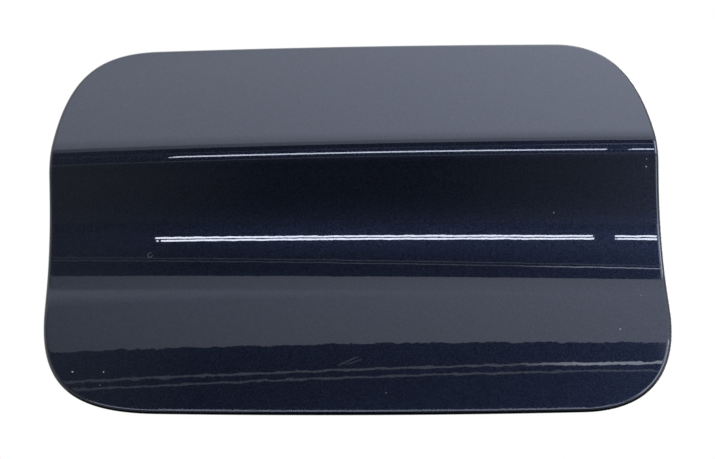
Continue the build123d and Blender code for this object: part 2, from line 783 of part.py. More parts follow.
# Rubber stop on the lug: at the open angle the plateau comes to rest just in front of it
over_square = radians(open_angle - 90)
pad_reach = pad_y + pad_size / 2 - pin_y
pad_face = (seat_gap - moving_clearance - pad_reach * sin(over_square)) / cos(over_square)
with BuildPart() as open_stop_pad:
    with BuildSketch(Plane.YZ.offset(pin_x - lug_radius)):
        with Locations((pad_y, 0)):
            RectangleRounded(pad_size, pad_height, pad_stem_radius)
    extrude(amount=lug_radius - pad_face)
    with BuildSketch(Plane.YZ.offset(pin_x - lug_radius)):
        with Locations((pad_y, 0)):
            Circle(pad_stem_radius)
    extrude(amount=pad_stem_length)
finish(open_stop_pad, "open_stop_pad")

# Headed hinge pin with a groove for its clip
clip_top_z = -cheek_outer_z - axial_clearance
head_low_z = spring_high_z + wire_diameter / 2 + 2 * spring_clearance
with BuildPart() as hinge_pin:
    with BuildSketch(Plane.XY.offset(clip_top_z - clip_thickness - pin_tip)):
        with Locations((pin_x, pin_y)):
            Circle(pin_radius)
    extrude(amount=head_low_z - clip_top_z + clip_thickness + pin_tip)
    chamfer(hinge_pin.edges().group_by(Axis.Z)[0], length=pin_chamfer)
    with BuildSketch(Plane.XY.offset(head_low_z)):
        with Locations((pin_x, pin_y)):
            Circle(pin_head_radius)
    extrude(amount=pin_head_thickness)
    fillet(hinge_pin.edges().group_by(Axis.Z)[-1], radius=pin_head_thickness / 2)
    with BuildSketch(Plane.XY.offset(clip_top_z)):
        with Locations((pin_x, pin_y)):
            Circle(pin_radius)
            Circle(pin_radius - clip_groove_depth, mode=Mode.SUBTRACT)
    extrude(amount=-clip_thickness, mode=Mode.SUBTRACT)
finish(hinge_pin, "hinge_pin")

# Retaining clip pushed into the groove from the front, with two relief notches
with BuildPart() as pin_clip:
    with BuildSketch(Plane.XY.offset(clip_top_z)):
        with Locations((pin_x, pin_y)):
            Circle(clip_radius)
            Circle(pin_radius - clip_groove_depth + seat_clearance, mode=Mode.SUBTRACT)
            with PolarLocations(pin_radius, 2, clip_notch_angle, 360 - 4 * clip_notch_angle):
                Circle(clip_groove_depth + seat_clearance, mode=Mode.SUBTRACT)
        with Locations((pin_x, pin_y - clip_radius / 2)):
            Rectangle(clip_gap, clip_radius, mode=Mode.SUBTRACT)
    extrude(amount=-clip_thickness)
finish(pin_clip, "pin_clip")
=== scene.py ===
from math import atan, cos, pi, radians, sin, sqrt, tan

import bmesh
import bpy
from mathutils import Matrix, Vector, noise
from mathutils.geometry import interpolate_bezier


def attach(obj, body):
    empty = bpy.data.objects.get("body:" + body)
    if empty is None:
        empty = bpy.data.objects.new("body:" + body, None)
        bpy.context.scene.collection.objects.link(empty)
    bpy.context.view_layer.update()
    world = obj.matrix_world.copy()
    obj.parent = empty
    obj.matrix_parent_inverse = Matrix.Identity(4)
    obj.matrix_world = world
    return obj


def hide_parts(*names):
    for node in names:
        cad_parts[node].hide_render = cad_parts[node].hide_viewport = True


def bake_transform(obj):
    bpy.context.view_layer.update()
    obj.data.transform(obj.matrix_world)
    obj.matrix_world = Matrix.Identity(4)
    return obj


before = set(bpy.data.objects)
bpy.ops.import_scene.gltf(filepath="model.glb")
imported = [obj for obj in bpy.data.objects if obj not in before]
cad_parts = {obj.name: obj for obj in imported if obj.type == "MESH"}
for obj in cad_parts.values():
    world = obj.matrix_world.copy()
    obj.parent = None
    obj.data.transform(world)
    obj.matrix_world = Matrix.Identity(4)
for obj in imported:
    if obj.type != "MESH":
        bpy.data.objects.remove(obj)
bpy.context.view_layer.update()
scene = bpy.context.scene
scene.view_settings.view_transform = "Standard"
mm = 0.001
print("frame loaded,", len(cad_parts), "nodes")


# colours, nodes and objects
def linearColour(hexColour, alpha=1.0):
    channels = [int(hexColour[i:i + 2], 16) / 255 for i in (1, 3, 5)]
    return tuple(c / 12.92 if c <= 0.04045 else ((c + 0.055) / 1.055) ** 2.4 for c in channels) + (alpha,)


def addNode(tree, kind, settings=None, links=None):
    node = tree.nodes.new(kind)
    for name, value in (settings or {}).items():
        if isinstance(name, int) or name in node.inputs:
            node.inputs[name].default_value = value
        else:
            setattr(node, name, value)
    for name, source in (links or {}).items():
        tree.links.new(source, node.inputs[name])
    return node


def newMaterial(name, settings):
    material = bpy.data.materials.new(name)
    material.use_nodes = True
    tree = material.node_tree
    tree.nodes.clear()
    shader = addNode(tree, "ShaderNodeBsdfPrincipled", settings)
    addNode(tree, "ShaderNodeOutputMaterial", links={"Surface": shader.outputs["BSDF"]})
    place = addNode(tree, "ShaderNodeTexCoord").outputs["Object"]
    return material, tree, shader, place


def newPiece(name, bm, material, smoothAngle=40):
    mesh = bpy.data.meshes.new(name)
    bm.to_mesh(mesh)
    bm.free()
    mesh.shade_smooth()
    mesh.set_sharp_from_angle(angle=radians(smoothAngle))
    mesh.materials.append(material)
    piece = bpy.data.objects.new(name, mesh)
    scene.collection.objects.link(piece)
    return piece


paint = {
    "colour": "#161b28", "flakesPerMm": 2.6, "flakeTones": (0.55, 1.45),  # coarser than real flakes, to show
    "wavesPerMm": 0.26, "waveHeight": 0.04,  # orange peel, in mm
    "innerDark": "#171e30", "innerPale": "#1f273a", "mistSize": 25.0, "grainsPerMm": 0.9,  # thin coat inside
}


def clearcoatPaint():
    # dark blue metallic basecoat under gloss lacquer: a deep mirror with a faint orange peel and fine flakes below
    material, tree, shader, place = newMaterial("metallicLacquer", {
        "Metallic": 0.85, "Roughness": 0.32, "Specular IOR Level": 0.0, "Coat Weight": 1.0, "Coat Roughness": 0.015,
        "Coat IOR": 1.5,
    })
    flakes = addNode(tree, "ShaderNodeTexVoronoi", {"Scale": paint["flakesPerMm"] / mm}, {"Vector": place})
    dull, bright = paint["flakeTones"]
    flakeTone = addNode(tree, "ShaderNodeMapRange", {"To Min": dull, "To Max": bright},
                        {"Value": flakes.outputs["Color"]})
    tint = addNode(tree, "ShaderNodeMix", {
        "data_type": "RGBA", "blend_type": "MULTIPLY", 0: 1.0, 6: linearColour(paint["colour"]),
    }, {7: flakeTone.outputs["Result"]})
    tree.links.new(tint.outputs[2], shader.inputs["Base Color"])
    peel = addNode(tree, "ShaderNodeTexNoise", {
        "Scale": paint["wavesPerMm"] / mm, "Detail": 2.0, "Roughness": 0.4,
    }, {"Vector": place})
    peelBump = addNode(tree, "ShaderNodeBump", {"Strength": 0.2, "Distance": paint["waveHeight"] * mm},
                       {"Height": peel.outputs["Fac"]})
    tree.links.new(peelBump.outputs["Normal"], shader.inputs["Coat Normal"])
    return material


def innerPaint():
    # the same colour sprayed thin on the inside: half gloss, in cloudy patches a little paler and drier
    material, tree, shader, place = newMaterial("thinInnerLacquer", {
        "Metallic": 0.35, "IOR": 1.5, "Coat Weight": 0.5, "Coat Roughness": 0.22,
    })
    mist = addNode(tree, "ShaderNodeTexNoise", {"Scale": 1 / (paint["mistSize"] * mm), "Detail": 4.0},
                   {"Vector": place})
    tint = addNode(tree, "ShaderNodeMix", {
        "data_type": "RGBA", 6: linearColour(paint["innerDark"]), 7: linearColour(paint["innerPale"]),
    }, {0: mist.outputs["Fac"]})
    tree.links.new(tint.outputs[2], shader.inputs["Base Color"])
    rough = addNode(tree, "ShaderNodeMapRange", {"To Min": 0.38, "To Max": 0.6}, {"Value": mist.outputs["Fac"]})
    tree.links.new(rough.outputs["Result"], shader.inputs["Roughness"])
    grain = addNode(tree, "ShaderNodeTexNoise", {"Scale": paint["grainsPerMm"] / mm, "Detail": 2.0},
                    {"Vector": place})
    bump = addNode(tree, "ShaderNodeBump", {"Strength": 0.25, "Distance": 0.0001}, {"Height": grain.outputs["Fac"]})
    tree.links.new(bump.outputs["Normal"], shader.inputs["Normal"])
    return material


def grainyMaterial(name, dark, pale, metallic, roughness, grain, depth, stretch=(1, 1, 1), **more):
    # one maker for the plain finishes: two close tones and a bump of the same grain, its width and depth in mm
    material, tree, shader, place = newMaterial(name, {"Metallic": metallic, **more})
    turned = addNode(tree, "ShaderNodeMapping", {"Scale": stretch}, {"Vector": place})
    texture = addNode(tree, "ShaderNodeTexNoise", {"Scale": 1 / (grain * mm), "Detail": 5.0},
                      {"Vector": turned.outputs["Vector"]})
    tint = addNode(tree, "ShaderNodeMix", {"data_type": "RGBA", 6: linearColour(dark), 7: linearColour(pale)},
                   {0: texture.outputs["Fac"]})
    rough = addNode(tree, "ShaderNodeMapRange", {"To Min": roughness - 0.08, "To Max": roughness + 0.08},
                    {"Value": texture.outputs["Fac"]})
    bump = addNode(tree, "ShaderNodeBump", {"Strength": 0.5, "Distance": depth * mm},
                   {"Height": texture.outputs["Fac"]})
    tree.links.new(tint.outputs[2], shader.inputs["Base Color"])
    tree.links.new(rough.outputs["Result"], shader.inputs["Roughness"])
    tree.links.new(bump.outputs["Normal"], shader.inputs["Normal"])
    return material


lacquer = clearcoatPaint()
innerLacquer = innerPaint()
finishes = {
    # pressure die-cast aluminium: pale grey with a fine mottled skin
    "hinge_arm": grainyMaterial("dieCastAluminium", "#9a9da1", "#b9bcc0", 1.0, 0.42, 1.2, 0.05),
    # glass-filled nylon, moulded: near black, satin, fine spark-eroded grain
    "hinge_base": grainyMaterial("glassFilledNylon", "#151618", "#202124", 0.0, 0.52, 0.6, 0.04),
    # acetal, moulded: black with a waxy shine
    "striker": grainyMaterial("blackAcetal", "#191a1c", "#232427", 0.0, 0.36, 1.5, 0.02),
    # natural acetal: ivory, waxy
    "upper_bush": grainyMaterial("naturalAcetal", "#d8d3c4", "#e3dfd2", 0.0, 0.35, 2.0, 0.01),
    # EPDM rubber, moulded: dull black, slightly bloomed
    "buffer_upper": grainyMaterial("epdmRubber", "#161616", "#252525", 0.0, 0.72, 2.5, 0.03),
    # steel with clear zinc plating: silvery with a faint yellowish cloud
    "arm_screws": grainyMaterial("zincPlatedSteel", "#a8a69c", "#c4c3bd", 1.0, 0.33, 1.6, 0.01),
    # turned steel pin: bright, lightly oiled
    "hinge_pin": grainyMaterial("turnedSteel", "#a9a9aa", "#bdbdbd", 1.0, 0.24, 0.3, 0.004, (0.2, 0.2, 4)),
    # hard-drawn spring wire: dark steel grey
    "hinge_spring": grainyMaterial("springWire", "#5f6062", "#77787a", 1.0, 0.34, 0.5, 0.006),
    # house dust and dried drops: pale grey, fully dull
    "dust": grainyMaterial("houseDust", "#a9a8a5", "#c6c5c2", 0.0, 0.9, 0.3, 0.02),
    # lacquer rubbed dull by grit and dried drops: the same dark blue with a grey haze
    "scuffs": grainyMaterial("rubbedLacquer", "#191e29", "#242a35", 0.0, 0.62, 0.4, 0.01,
                             **{"Specular IOR Level": 0.15}),
    # mastic: dull dark grey, soft skin
    "anti_flutter_strip_upper": grainyMaterial("mastic", "#3a3a3b", "#474748", 0.0, 0.85, 3.0, 0.15),
}
sameFinish = {
    "lower_bush": "upper_bush", "buffer_lower": "buffer_upper", "open_stop_pad": "buffer_upper",
    "striker_rivets": "arm_screws", "cap_holder_rivets": "arm_screws", "mount_sleeves": "arm_screws",
    "arm_nut_plate": "arm_screws", "pin_clip": "hinge_spring", "cap_holder": "hinge_base",
    "anti_flutter_strip_lower": "anti_flutter_strip_upper",
}
sheetFinish = {"outer_skin": lacquer, "inner_panel": innerLacquer}
for name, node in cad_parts.items():
    node.data.materials.clear()
    node.data.materials.append(sheetFinish.get(name) or finishes[sameFinish.get(name, name)])
print("materials made")

# outer skin, finer than its CAD node so that the lacquer mirrors cleanly
skin = {
    "crease": (62.0, -57.746, 20.3), "width": 200.0, "frontLean": 0.0271, "rearLean": 0.0191,
    "topHeight": 46.0, "topRise": 0.0174, "topRadius": 18100.0,
    "bottomDrop": 87.1, "bottomRise": 0.0029, "bottomRadius": 2482.0,
    "corners": {  # run along the top or bottom edge, drop along the side, fullness
        "frontTop": (32.3, 59.0, 0.751), "rearTop": (30.4, 52.1, 0.671),
        "frontLow": (38.9, 33.2, 0.717), "rearLow": (29.2, 33.3, 0.676),
    },
    "crown": 3000.0, "creaseRise": 0.021, "creaseRadius": 16.4, "upperLean": 12.0,
    "undercutLean": 28.55, "undercutLength": 9.53, "valleyRadius": 64.9, "valleyEnd": 5.4, "bulgeRadius": 345.0,
    "sheet": 0.8, "hem": 2.4, "hemWidth": 8.0, "hemEdge": 0.1, "foldRings": (3.0, 5.5), "slotRing": 4.0,
    "columns": 200, "rows": 140, "cornerSteps": 100, "edgeSteps": 60,
}


def faceIn(lean):
    return Vector((cos(radians(lean)), -sin(radians(lean))))


undercutWay = Vector((sin(radians(skin["undercutLean"])), -cos(radians(skin["undercutLean"]))))
undercutFoot = undercutWay * skin["undercutLength"]
valleyCentre = undercutFoot - faceIn(-skin["undercutLean"]) * skin["valleyRadius"]
bulgeCentre = valleyCentre + faceIn(skin["valleyEnd"]) * (skin["valleyRadius"] + skin["bulgeRadius"])
bulgeTop = valleyCentre.y - skin["valleyRadius"] * sin(radians(skin["valleyEnd"]))
creaseTilt = atan(skin["creaseRise"])
crownShift = -skin["crown"] * skin["creaseRise"] * tan(radians(skin["undercutLean"]))
upperSlope, lowerSlope = tan(radians(skin["upperLean"])), -tan(radians(skin["undercutLean"]))
roundZ = skin["creaseRadius"] * (sqrt(1 + lowerSlope ** 2) - sqrt(1 + upperSlope ** 2)) / (upperSlope - lowerSlope)
roundY = skin["creaseRadius"] * sqrt(1 + upperSlope ** 2) + upperSlope * roundZ
roundLow = roundZ - skin["creaseRadius"] * sin(radians(skin["undercutLean"]))
roundTop = roundZ + skin["creaseRadius"] * sin(radians(skin["upperLean"]))


def faceDepth(x, z):
    # depth of the outer face behind the crease point: two crowned flanks with a rounded crease between them
    along = x * cos(creaseTilt) + z * sin(creaseTilt)
    height = z * cos(creaseTilt) - x * sin(creaseTilt)
    upper = skin["crown"] - sqrt((skin["crown"] - height * tan(radians(skin["upperLean"]))) ** 2 - along ** 2)
    if z > undercutFoot.y:
        section = -z * tan(radians(skin["undercutLean"]))
    elif z > bulgeTop:
        section = valleyCentre.x + sqrt(skin["valleyRadius"] ** 2 - (z - valleyCentre.y) ** 2)
    else:
        section = bulgeCentre.x - sqrt(skin["bulgeRadius"] ** 2 - (z - bulgeCentre.y) ** 2)
    lower = sqrt(skin["crown"] ** 2 - crownShift ** 2) - sqrt(
        (skin["crown"] - section) ** 2 - (x - crownShift) ** 2)
    fromCrease = (upper - lower) / (upperSlope - lowerSlope)
    if roundLow < fromCrease < roundTop:
        rounded = roundY - sqrt(skin["creaseRadius"] ** 2 - (fromCrease - roundZ) ** 2)
        return upper - upperSlope * fromCrease + rounded
    return max(upper, lower)


def skinPoint(x, z, depth=0.0):
    step = 0.05
    slopeX = (faceDepth(x + step, z) - faceDepth(x - step, z)) / (2 * step)
    slopeZ = (faceDepth(x, z + step) - faceDepth(x, z - step)) / (2 * step)
    y = faceDepth(x, z) + depth * sqrt(1 + slopeX ** 2 + slopeZ ** 2)
    return (Vector(skin["crease"]) + Vector((x, y, z))) * mm


def frontEdge(z):
    return -skin["width"] / 2 - skin["frontLean"] * z


def rearEdge(z):
    return skin["width"] / 2 - skin["rearLean"] * z


def topEdge(x):
    return skin["topHeight"] + skin["topRise"] * x - x ** 2 / (2 * skin["topRadius"])


def bottomEdge(x):
    return -skin["bottomDrop"] + skin["bottomRise"] * x + x ** 2 / (2 * skin["bottomRadius"])


def cornerCurve(name, side, edge, xSign, zSign):
    run, drop, fullness = skin["corners"][name]
    edgeX = side(0) - xSign * run
    sideZ = edge(side(0)) - zSign * drop
    start = Vector((side(sideZ), sideZ, 0))
    end = Vector((edgeX, edge(edgeX), 0))
    sideWay = Vector((side(1) - side(0), 1, 0)).normalized() * zSign
    edgeWay = Vector((2, edge(edgeX + 1) - edge(edgeX - 1), 0)).normalized() * xSign
    return interpolate_bezier(start, start + sideWay * drop * fullness, end + edgeWay * run * fullness, end,
                              skin["cornerSteps"] + 1)


def edgeRun(edge, start, end):
    steps = skin["edgeSteps"]
    places = [start.x + (end.x - start.x) * i / steps for i in range(1, steps)]
    return [Vector((x, edge(x), 0)) for x in places]


frontTop = cornerCurve("frontTop", frontEdge, topEdge, -1, 1)
rearTop = cornerCurve("rearTop", rearEdge, topEdge, 1, 1)
frontLow = cornerCurve("frontLow", frontEdge, bottomEdge, -1, -1)
rearLow = cornerCurve("rearLow", rearEdge, bottomEdge, 1, -1)
nose = skin["hem"] / 2
half = skin["cornerSteps"] // 2
outline = {  # four sides of the face inside the rolled rim, each from corner middle to corner middle
    "low": frontLow[half:] + edgeRun(bottomEdge, frontLow[-1], rearLow[-1]) + rearLow[:half - 1:-1],
    "top": frontTop[half:] + edgeRun(topEdge, frontTop[-1], rearTop[-1]) + rearTop[:half - 1:-1],
    "front": frontLow[half::-1] + frontTop[:half + 1],
    "rear": rearLow[half::-1] + rearTop[:half + 1],
}
turns = {"low": -1, "top": 1, "front": 1, "rear": -1}  # which way is outwards, walking along a side
ways, runs = {}, {}
for side, points in outline.items():
    ends = [points[0] * 2 - points[1]] + points + [points[-1] * 2 - points[-2]]
    ways[side] = [Vector((a.y - b.y, b.x - a.x, 0)).normalized() * turns[side] for a, b in zip(ends, ends[2:])]
    outline[side] = points = [p - w * nose for p, w in zip(points, ways[side])]
    runs[side] = [0.0]
    for a, b in zip(points, points[1:]):
        runs[side].append(runs[side][-1] + (b - a).length)


def onOutline(side, share):
    # place on a side of the outline, and the way outwards there
    run = runs[side]
    goal = share * run[-1]
    low, high = 0, len(run) - 1
    while high - low > 1:
        middle = (low + high) // 2
        low, high = (middle, high) if run[middle] <= goal else (low, middle)
    part = (goal - run[low]) / (run[high] - run[low])
    place = outline[side][low].lerp(outline[side][high], part)
    return place, ways[side][low].lerp(ways[side][high], part).normalized()


def patchPoint(u, v):
    # place inside the outline, blended from its four sides
    low, top = onOutline("low", u)[0], onOutline("top", u)[0]
    front, rear = onOutline("front", v)[0], onOutline("rear", v)[0]
    corners = outline["low"][0].lerp(outline["low"][-1], u).lerp(outline["top"][0].lerp(outline["top"][-1], u), v)
    return low.lerp(top, v) + front.lerp(rear, u) - corners


def makeSkin():
    bm = bmesh.new()
    bmesh.ops.create_grid(bm, x_segments=skin["columns"], y_segments=skin["rows"], size=0.5)
    rim = {}
    for vert in bm.verts:
        u, v = vert.co.x + 0.5, vert.co.y + 0.5
        place = patchPoint(min(max(u, 0), 1), min(max(v, 0), 1))
        if vert.is_boundary:
            side = "low" if v < 1e-6 else "top" if v > 1 - 1e-6 else "front" if u < 1e-6 else "rear"
            rim[vert] = (place, onOutline(side, u if side in ("low", "top") else v)[1])
        vert.co = place
    back = bmesh.ops.duplicate(bm, geom=bm.verts[:] + bm.edges[:] + bm.faces[:])["geom"]  # inner side of the sheet
    backVerts = {g for g in back if isinstance(g, bmesh.types.BMVert)}
    for vert in bm.verts:
        vert.co = skinPoint(vert.co.x, vert.co.y, skin["sheet"] if vert in backVerts else 0.0)
    bmesh.ops.reverse_faces(bm, faces=[g for g in back if isinstance(g, bmesh.types.BMFace)])
    backEdge = [g for g in back if isinstance(g, bmesh.types.BMEdge) and g.is_boundary]
    edge = [e for e in bm.edges if e.is_boundary and e.verts[0] not in backVerts]
    hem, sheet, width, soft = skin["hem"], skin["sheet"], skin["hemWidth"], skin["hemEdge"]
    inside = hem - sheet
    # inset and depth of each ring: round the nose, along the fold, over its edge and back through the slot
    hemFold = [(nose - nose * sin(radians(a)), nose - nose * cos(radians(a))) for a in range(12, 181, 12)]
    hemFold += [(inset, hem) for inset in skin["foldRings"]] + [(width - soft, hem)]
    hemFold += [(width, hem - soft), (width, inside + soft), (width - soft, inside)]
    hemFold += [(skin["slotRing"], inside), (sheet, inside), (sheet, sheet)]
    for inset, depth in hemFold:
        grown = bmesh.ops.extrude_edge_only(bm, edges=edge)["geom"]
        ring = {}
        for vert in (g for g in grown if isinstance(g, bmesh.types.BMVert)):
            place, way = next(rim[e.other_vert(vert)] for e in vert.link_edges if e.other_vert(vert) in rim)
            ring[vert] = (place, way)
            spot = place + way * (nose - inset)
            vert.co = skinPoint(spot.x, spot.y, depth)
        edge = [g for g in grown if isinstance(g, bmesh.types.BMEdge) and g.is_boundary]
        rim = ring
    bmesh.ops.bridge_loops(bm, edges=edge + backEdge)
    bmesh.ops.recalc_face_normals(bm, faces=bm.faces)
    return newPiece("doorSkin", bm, lacquer, 50)


doorSkin = makeSkin()
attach(doorSkin, "door")
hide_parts("outer_skin")
print("outer skin made,", len(doorSkin.data.polygons), "faces")

# sealer bead along the inner edge of the hem, sprayed over with the door
bead = {"inset": 8.6, "depth": 1.9, "radius": 0.8, "stations": 400, "sides": 10, "waver": 0.12, "waversPerMm": 0.12}


def makeBead():
    bm = bmesh.new()
    bmesh.ops.create_grid(bm, x_segments=bead["stations"], y_segments=bead["sides"], size=0.5)
    for vert in bm.verts:
        share = (vert.co.x + 0.5) * 4 % 4
        side = ("low", "rear", "top", "front")[int(share)]
        place, way = onOutline(side, share % 1 if side in ("low", "rear") else 1 - share % 1)
        angle = vert.co.y * 2 * pi
        radius = bead["radius"] * (1 + bead["waver"] * noise.noise(place * bead["waversPerMm"]))
        spot = place + way * (nose - bead["inset"] + radius * cos(angle))
        vert.co = skinPoint(spot.x, spot.y, bead["depth"] + radius * sin(angle))
    bmesh.ops.remove_doubles(bm, verts=bm.verts, dist=1e-6)
    bmesh.ops.recalc_face_normals(bm, faces=bm.faces)
    return newPiece("hemSealer", bm, innerLacquer)


hemSealer = makeBead()
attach(hemSealer, "door")

# dust and light marks on the lacquer
wear = {
    "specks": [  # place along and up from the crease's middle, radius
        (-87.5, -73.1, 0.26), (-77.8, -73.2, 0.21), (-78.6, -77.5, 0.12), (9.7, -80.4, 0.13), (84.0, -58.5, 0.24),
        (95.7, -4.6, 0.25), (95.8, -2.4, 0.15), (65.2, -18.7, 0.18), (91.9, -46.4, 0.12), (91.2, -44.4, 0.1),
    ],
    "flatness": 0.4,
    "ring": (-66.0, -32.7, 0.75, 0.03), "ringSweep": 300.0,  # place, radius, width and sweep of a dried drop
    "scuffs": [(-5.5, -71.6, 1.4, -68.3, 0.6), (-3.0, -71.3, 2.6, -69.2, 0.4)],  # from, to, width
    "thickness": 0.03,
}


def onSkin(x, z):
    # place on the face, with Y along the way into it
    along = (skinPoint(x + 0.5, z) - skinPoint(x - 0.5, z)).normalized()
    inward = (skinPoint(x, z + 0.5) - skinPoint(x, z - 0.5)).cross(along).normalized()
    return Matrix.Translation(skinPoint(x, z)) @ Matrix((along, inward, along.cross(inward))).transposed().to_4x4()


def makeDust():
    bm = bmesh.new()
    for x, z, radius in wear["specks"]:
        flat = Matrix.Diagonal((radius * mm, radius * wear["flatness"] * mm, radius * mm, 1))
        bmesh.ops.create_icosphere(bm, subdivisions=2, radius=1.0, matrix=onSkin(x, z) @ flat)
    x, z, radius, width = wear["ring"]
    place = onSkin(x, z)
    ring = bmesh.ops.create_circle(bm, segments=8, radius=width * mm,
                                   matrix=place @ Matrix.Translation((radius * mm, 0, 0)))["verts"]
    ringEdges = [e for e in bm.edges if e.verts[0] in ring and e.verts[1] in ring]
    bmesh.ops.spin(bm, geom=ring + ringEdges, cent=place.translation, axis=place.col[1].xyz, dvec=(0, 0, 0),
                   angle=radians(wear["ringSweep"]), steps=24)
    bmesh.ops.holes_fill(bm, edges=[e for e in bm.edges if e.is_boundary])
    bmesh.ops.recalc_face_normals(bm, faces=bm.faces)
    return newPiece("dust", bm, finishes["dust"])


def makeScuffs():
    bm = bmesh.new()
    for fromX, fromZ, toX, toZ, width in wear["scuffs"]:
        way = Vector((toX - fromX, toZ - fromZ))
        turned = Matrix.Rotation(atan(-way.y / way.x), 4, "Y")
        flat = Matrix.Diagonal((way.length / 2 * mm, wear["thickness"] * mm, width / 2 * mm, 1))
        middle = onSkin((fromX + toX) / 2, (fromZ + toZ) / 2)
        bmesh.ops.create_icosphere(bm, subdivisions=3, radius=1.0, matrix=middle @ turned @ flat)
    bmesh.ops.recalc_face_normals(bm, faces=bm.faces)
    return newPiece("scuffMarks", bm, finishes["scuffs"])


dust = makeDust()
scuffMarks = makeScuffs()
for piece in (dust, scuffMarks):
    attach(piece, "door")
print("sealer, dust and scuffs made")

# torsion spring, which winds up as the door opens
spring = {
    "pin": (-10.0, -28.0), "coilRadius": 4.7, "wire": 1.4, "low": 15.59, "rise": 8.22, "startAngle": 60.0,
    "turn": 1740.0, "armLeg": 19.0, "baseLeg": 21.0, "stepsATurn": 32, "legSteps": 6, "sides": 14,
}


def makeSpring():
    bm = bmesh.new()
    centre = Vector((*spring["pin"], spring["low"])) * mm
    start = radians(spring["startAngle"])
    out = Vector((cos(start), sin(start), 0))
    slope = spring["rise"] / (radians(spring["turn"]) * spring["coilRadius"])
    way = Vector((-sin(start), cos(start), slope)).normalized()
    turned = way.to_track_quat("Z", "Y").to_matrix().to_4x4()
    tip = Matrix.Translation(centre + out * spring["coilRadius"] * mm - way * spring["armLeg"] * mm) @ turned
    bmesh.ops.create_circle(bm, cap_ends=True, segments=spring["sides"], radius=spring["wire"] / 2 * mm, matrix=tip)
    ring = bm.edges[:]

    def along(edges, step):
        grown = bmesh.ops.extrude_edge_only(bm, edges=edges)["geom"]
        bmesh.ops.translate(bm, verts=[g for g in grown if isinstance(g, bmesh.types.BMVert)], vec=step)
        return [g for g in grown if isinstance(g, bmesh.types.BMEdge) and g.is_boundary]

    for _ in range(spring["legSteps"]):
        ring = along(ring, way * spring["armLeg"] * mm / spring["legSteps"])
    steps = int(spring["turn"] / 360 * spring["stepsATurn"])
    grown = bmesh.ops.spin(bm, geom=ring, cent=centre, axis=(0, 0, 1), dvec=(0, 0, spring["rise"] * mm / steps),
                           angle=radians(spring["turn"]), steps=steps)["geom_last"]
    ring = [g for g in grown if isinstance(g, bmesh.types.BMEdge)]
    endWay = Matrix.Rotation(radians(spring["turn"]), 3, "Z") @ way
    for _ in range(spring["legSteps"]):
        ring = along(ring, endWay * spring["baseLeg"] * mm / spring["legSteps"])
    bmesh.ops.contextual_create(bm, geom=ring)
    bmesh.ops.recalc_face_normals(bm, faces=bm.faces)
    return newPiece("closingSpring", bm, finishes["hinge_spring"])


closingSpring = makeSpring()
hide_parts("hinge_spring")
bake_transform(closingSpring)
print("spring made")

# camera, fitted to the outline of the door in the photo
lens = {
    "from": (0.063071, -0.464777, -0.207871), "to": (0.063071, -0.057746, -0.009348),
    "roll": -0.2084, "focal": 72.018,
}
camera = bpy.data.objects.new("camera", bpy.data.cameras.new("camera"))
scene.collection.objects.link(camera)
scene.camera = camera
camera.data.sensor_fit = "HORIZONTAL"
camera.data.sensor_width = 36.0
camera.data.lens = lens["focal"]
camera.data.clip_start = 0.01
ahead = (Vector(lens["to"]) - Vector(lens["from"])).normalized()
right = ahead.cross(Vector((0, 0, 1))).normalized()
up = right.cross(ahead)
roll = radians(lens["roll"])
right, up = right * cos(roll) + up * sin(roll), up * cos(roll) - right * sin(roll)
camera.matrix_world = Matrix.Translation(lens["from"]) @ Matrix((right, up, -ahead)).transposed().to_4x4()

